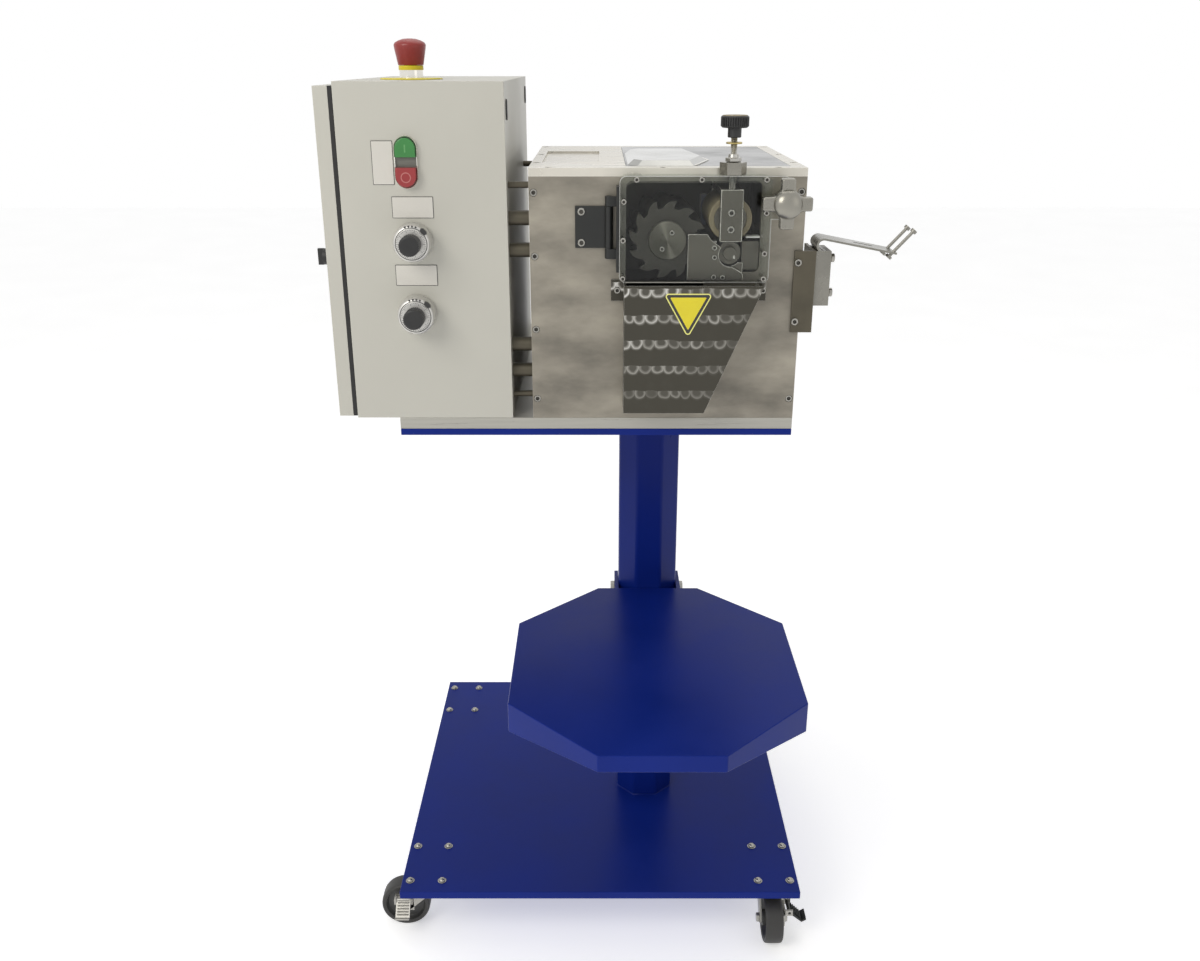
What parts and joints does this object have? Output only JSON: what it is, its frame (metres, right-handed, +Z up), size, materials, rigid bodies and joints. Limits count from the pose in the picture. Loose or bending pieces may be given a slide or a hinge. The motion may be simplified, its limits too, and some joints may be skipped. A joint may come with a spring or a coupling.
{
  "type": "strand pelletizer",
  "caption": "Strand pelletizer: rotor and feed rolls behind a clear guard, pellet chute, control cabinet, on a wheeled stand with a shelf.",
  "frame": {"origin": "on the floor, under the middle of the bounding box", "axes": "+Z up, -Y to the front where the rotor and the controls are, +X to the right where the strands enter"},
  "size_m": [0.7368, 0.8282, 1.3163],
  "materials": {
    "stand_blue": "gloss",
    "zinc": "satin",
    "wheel_grey": "matte",
    "bare_plate": "brushed",
    "panel": "satin",
    "dark_window": "gloss",
    "dark_steel": "matte",
    "bright_steel": "satin",
    "black_steel": "satin",
    "motor_grey": "satin",
    "belt_rubber": "matte",
    "swirl_sheet": "swirled",
    "cabinet_grey": "satin",
    "black_plastic": "matte",
    "trim": "satin",
    "drive_plastic": "matte",
    "roll_tan": "matte",
    "clear_guard": "clear",
    "red_plastic": "gloss",
    "green_plastic": "gloss"
  },
  "bodies": {
    "machine_frame": {"base_plate": "stand_blue", "column": "stand_blue", "table_plate": "stand_blue", "tray": "stand_blue", "tray_bracket": "stand_blue", "fasteners": "zinc", "caster_plates": "zinc", "mounting_plate": "bare_plate", "front_panel": "panel", "side_panels": "panel", "rear_panel": "panel", "top_cover": "panel", "top_window": "dark_window", "bearing_wall": "dark_steel", "shaft_bearings": "bright_steel", "rotor_motor": "motor_grey", "drive_belt": "belt_rubber", "feed_gearmotor": "motor_grey", "carrier_boss": "bright_steel", "bed_knife": "bright_steel", "knife_holder": "dark_steel", "guard_hinge": "black_steel", "chute": "swirl_sheet", "link_rods": "black_plastic", "guide_bracket": "black_steel", "cabinet_body": "cabinet_grey", "button_bodies": "trim", "dial_bodies": "trim", "motor_drives": "drive_plastic", "cable_gland": "black_plastic"},
    "fork_fl": {"caster_fork_fl": "zinc"},
    "wheel_fl": {"caster_wheel_fl": "wheel_grey"},
    "fork_fr": {"caster_fork_fr": "zinc"},
    "wheel_fr": {"caster_wheel_fr": "wheel_grey"},
    "fork_rl": {"caster_fork_rl": "zinc"},
    "wheel_rl": {"caster_wheel_rl": "wheel_grey"},
    "fork_rr": {"caster_fork_rr": "zinc"},
    "wheel_rr": {"caster_wheel_rr": "wheel_grey"},
    "brake_fl": {"caster_brake_fl": "zinc"},
    "brake_fr": {"caster_brake_fr": "zinc"},
    "rotor_assembly": {"rotor": "bright_steel", "rotor_cap": "dark_steel", "rotor_shaft": "bright_steel", "rotor_pulley": "trim"},
    "motor_shaft": {"motor_pulley": "trim"},
    "lower_roll": {"lower_feed_roll": "bright_steel"},
    "carrier": {"roll_carrier": "dark_steel"},
    "upper_roll": {"upper_feed_roll": "roll_tan"},
    "adjuster": {"adjusting_knob": "black_plastic"},
    "guard": {"guard": "clear_guard"},
    "guard_knob": {"star_knob": "trim"},
    "strand_guide": {"infeed_guide": "bright_steel"},
    "door": {"cabinet_door": "cabinet_grey", "door_gasket": "belt_rubber"},
    "latch": {"door_latch": "black_plastic"},
    "estop": {"estop_button": "red_plastic"},
    "start": {"start_button": "green_plastic"},
    "stop": {"stop_button": "red_plastic"},
    "dial_upper": {"dial_knob_upper": "black_plastic"},
    "dial_lower": {"dial_knob_lower": "black_plastic"}
  },
  "joints": [
    {"name": "swivel_fl", "type": "hinge", "parent": "machine_frame", "child": "fork_fl", "pos_m": [-0.28594, -0.13085, 0.0822], "axis": [0, 0, 1], "continuous": true},
    {"name": "roll_fl", "type": "hinge", "parent": "fork_fl", "child": "wheel_fl", "pos_m": [-0.32594, -0.13085, 0.038], "axis": [0, -1, 0], "continuous": true},
    {"name": "brake_fl", "type": "hinge", "parent": "fork_fl", "child": "brake_fl", "pos_m": [-0.32594, -0.15585, 0.058], "axis": [1, 0, 0], "range_deg": [0, 25]},
    {"name": "swivel_fr", "type": "hinge", "parent": "machine_frame", "child": "fork_fr", "pos_m": [0.25006, -0.13085, 0.0822], "axis": [0, 0, 1], "continuous": true},
    {"name": "roll_fr", "type": "hinge", "parent": "fork_fr", "child": "wheel_fr", "pos_m": [0.25006, -0.17085, 0.038], "axis": [1, 0, 0], "continuous": true},
    {"name": "brake_fr", "type": "hinge", "parent": "fork_fr", "child": "brake_fr", "pos_m": [0.27506, -0.17085, 0.058], "axis": [0, 1, 0], "range_deg": [0, 25]},
    {"name": "swivel_rl", "type": "hinge", "parent": "machine_frame", "child": "fork_rl", "pos_m": [-0.28594, 0.34915, 0.0822], "axis": [0, 0, 1], "continuous": true},
    {"name": "roll_rl", "type": "hinge", "parent": "fork_rl", "child": "wheel_rl", "pos_m": [-0.28594, 0.30915, 0.038], "axis": [1, 0, 0], "continuous": true},
    {"name": "swivel_rr", "type": "hinge", "parent": "machine_frame", "child": "fork_rr", "pos_m": [0.25006, 0.34915, 0.0822], "axis": [0, 0, 1], "continuous": true},
    {"name": "roll_rr", "type": "hinge", "parent": "fork_rr", "child": "wheel_rr", "pos_m": [0.25006, 0.30915, 0.038], "axis": [1, 0, 0], "continuous": true},
    {"name": "rotor_spin", "type": "hinge", "parent": "machine_frame", "child": "rotor_assembly", "pos_m": [0.06306, -0.19085, 1.0876], "axis": [0, 1, 0], "continuous": true},
    {"name": "motor_spin", "type": "hinge", "parent": "machine_frame", "child": "motor_shaft", "pos_m": [-0.01794, 0.01415, 0.9318], "axis": [0, 1, 0], "continuous": true},
    {"name": "lower_roll_spin", "type": "hinge", "parent": "machine_frame", "child": "lower_roll", "pos_m": [0.13906, -0.19085, 1.0721], "axis": [0, 1, 0], "continuous": true},
    {"name": "carrier_slide", "type": "slide", "parent": "machine_frame", "child": "carrier", "axis": [0, 0, 1], "range_m": [0, 0.006]},
    {"name": "upper_roll_spin", "type": "hinge", "parent": "carrier", "child": "upper_roll", "pos_m": [0.13906, -0.19085, 1.1124], "axis": [0, 1, 0], "continuous": true},
    {"name": "knob_turn", "type": "hinge", "parent": "machine_frame", "child": "adjuster", "pos_m": [0.13906, -0.19665, 1.2066], "axis": [0, 0, -1], "range_deg": [0, 1440]},
    {"name": "guard_hinge_turn", "type": "hinge", "parent": "machine_frame", "child": "guard", "pos_m": [-0.00714, -0.18985, 1.0393], "axis": [0, 0, -1], "range_deg": [0, 110]},
    {"name": "guard_knob_turn", "type": "hinge", "parent": "guard", "child": "guard_knob", "pos_m": [0.19906, -0.21385, 1.1353], "axis": [0, -1, 0], "range_deg": [0, 900]},
    {"name": "strand_guide_slide", "type": "slide", "parent": "machine_frame", "child": "strand_guide", "axis": [0, 0, 1], "range_m": [-0.004, 0.004]},
    {"name": "door_hinge_turn", "type": "hinge", "parent": "machine_frame", "child": "door", "pos_m": [-0.33594, 0.22715, 0.8618], "axis": [0, 0, -1], "range_deg": [0, 120]},
    {"name": "latch_turn", "type": "hinge", "parent": "door", "child": "latch", "pos_m": [-0.35344, -0.15985, 1.06255], "axis": [1, 0, 0], "range_deg": [0, 90]},
    {"name": "start_press", "type": "slide", "parent": "machine_frame", "child": "start", "axis": [0, 1, 0], "range_m": [0, 0.004], "stiffness_N_per_m": 600, "springref_m": -0.001},
    {"name": "stop_press", "type": "slide", "parent": "machine_frame", "child": "stop", "axis": [0, 1, 0], "range_m": [0, 0.004], "stiffness_N_per_m": 600, "springref_m": -0.001},
    {"name": "estop_press", "type": "slide", "parent": "machine_frame", "child": "estop", "axis": [0, 0, -1], "range_m": [0, 0.005], "stiffness_N_per_m": 1500, "springref_m": -0.002},
    {"name": "dial_upper_turn", "type": "hinge", "parent": "machine_frame", "child": "dial_upper", "pos_m": [-0.24394, -0.18385, 1.085], "axis": [0, 1, 0], "range_deg": [0, 3600]},
    {"name": "dial_lower_turn", "type": "hinge", "parent": "machine_frame", "child": "dial_lower", "pos_m": [-0.24394, -0.18385, 0.997], "axis": [0, 1, 0], "range_deg": [0, 3600]}
  ],
  "couplings": [
    {"joint": "motor_spin", "follows": "rotor_spin", "ratio": 1.2857},
    {"joint": "upper_roll_spin", "follows": "lower_roll_spin", "ratio": -0.53846},
    {"joint": "knob_turn", "follows": "carrier_slide", "rad_per_m": 4188.7}
  ]
}
